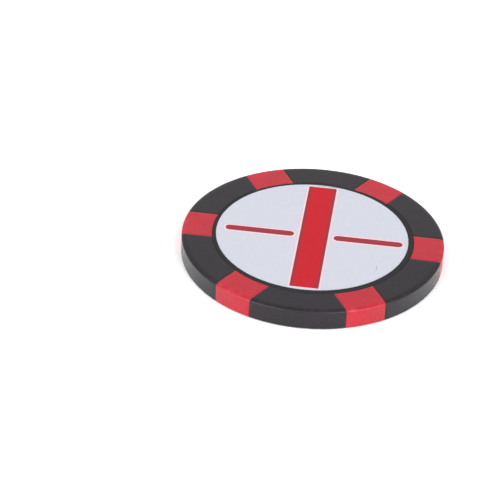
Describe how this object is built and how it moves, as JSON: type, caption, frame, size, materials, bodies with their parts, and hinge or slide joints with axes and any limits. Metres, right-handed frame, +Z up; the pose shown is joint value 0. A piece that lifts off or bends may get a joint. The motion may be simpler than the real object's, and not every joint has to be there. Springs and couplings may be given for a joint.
{
  "type": "golf ball marker",
  "caption": "Round poker-chip golf ball marker with coloured edge spots, an inner steel weight and a printed putting-alignment label on each face.",
  "frame": {"origin": "centre of the underside, on the surface that the chip lies on", "axes": "+Z up through the chip's faces, +X through the middle of the first edge spot"},
  "size_m": [0.04, 0.04, 0.0033],
  "materials": {
    "black_plastic": "satin moulded ABS, fine texture",
    "red_plastic": "satin moulded ABS, fine texture",
    "slug_steel": "punched mild steel, bare",
    "label_adhesive": "clear acrylic adhesive",
    "label_film": "smooth vinyl film, satin",
    "label_border": "printed black ink",
    "label_bar": "printed red ink",
    "label_line": "printed red ink"
  },
  "bodies": {
    "root": {"chip_body": "black_plastic", "edge_spot_1": "red_plastic", "edge_spot_2": "red_plastic", "edge_spot_3": "red_plastic", "edge_spot_4": "red_plastic", "edge_spot_5": "red_plastic", "edge_spot_6": "red_plastic", "steel_slug": "slug_steel", "top_label_adhesive": "label_adhesive", "top_label_film": "label_film", "top_label_border": "label_border", "top_label_bar": "label_bar", "top_label_line_left": "label_line", "top_label_line_right": "label_line", "bottom_label_adhesive": "label_adhesive", "bottom_label_film": "label_film", "bottom_label_border": "label_border", "bottom_label_bar": "label_bar", "bottom_label_line_left": "label_line", "bottom_label_line_right": "label_line"}
  },
  "joints": []
}
